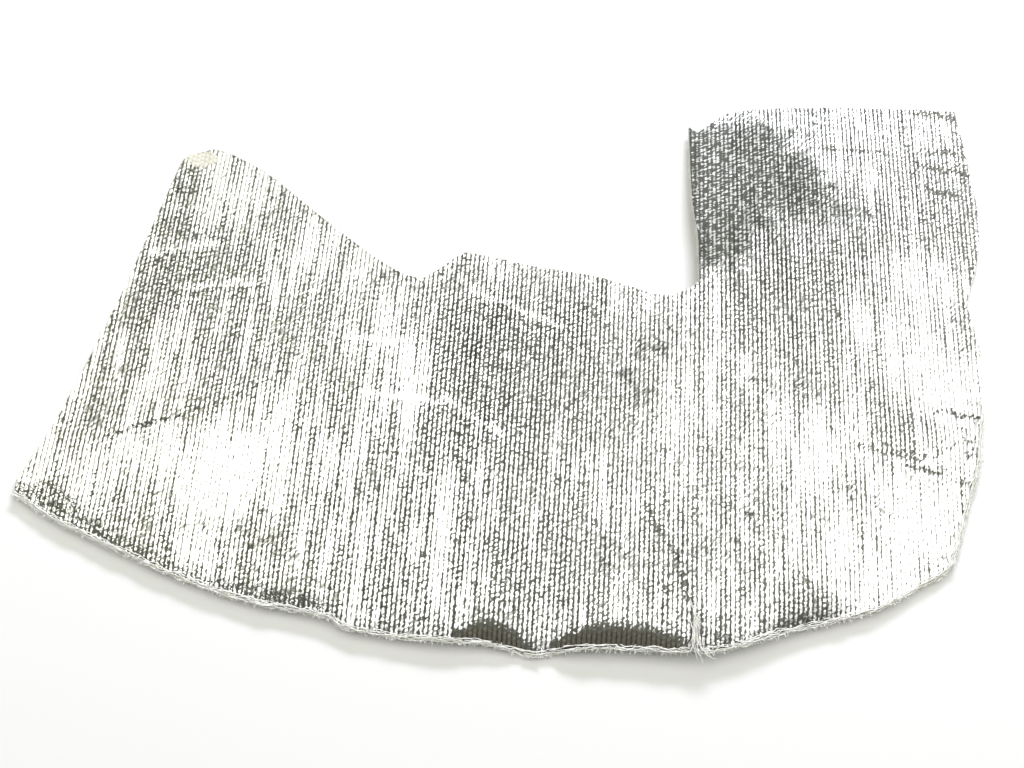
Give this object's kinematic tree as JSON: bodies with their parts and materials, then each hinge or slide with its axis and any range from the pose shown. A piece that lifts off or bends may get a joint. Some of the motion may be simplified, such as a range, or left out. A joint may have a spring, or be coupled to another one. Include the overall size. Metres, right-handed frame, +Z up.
{
  "type": "heat shield",
  "caption": "Irregular sheet of corded, foil-faced glass cloth with a bay and a square ear, lying in a low dome; shields parts of an engine bay from heat.",
  "frame": {"origin": "centre of the bounding box at its base, on the surface that the sheet lies on", "axes": "+X across the cords, along the longest side and towards the ear; +Y along the cords, from the front edge to the bay; +Z up, out of the foil face"},
  "size_m": [0.506, 0.328, 0.0151],
  "materials": {
    "foil_cloth": "bright crinkled foil over corded glass cloth"
  },
  "bodies": {
    "root": {"heat_shield": "foil_cloth"}
  },
  "joints": []
}
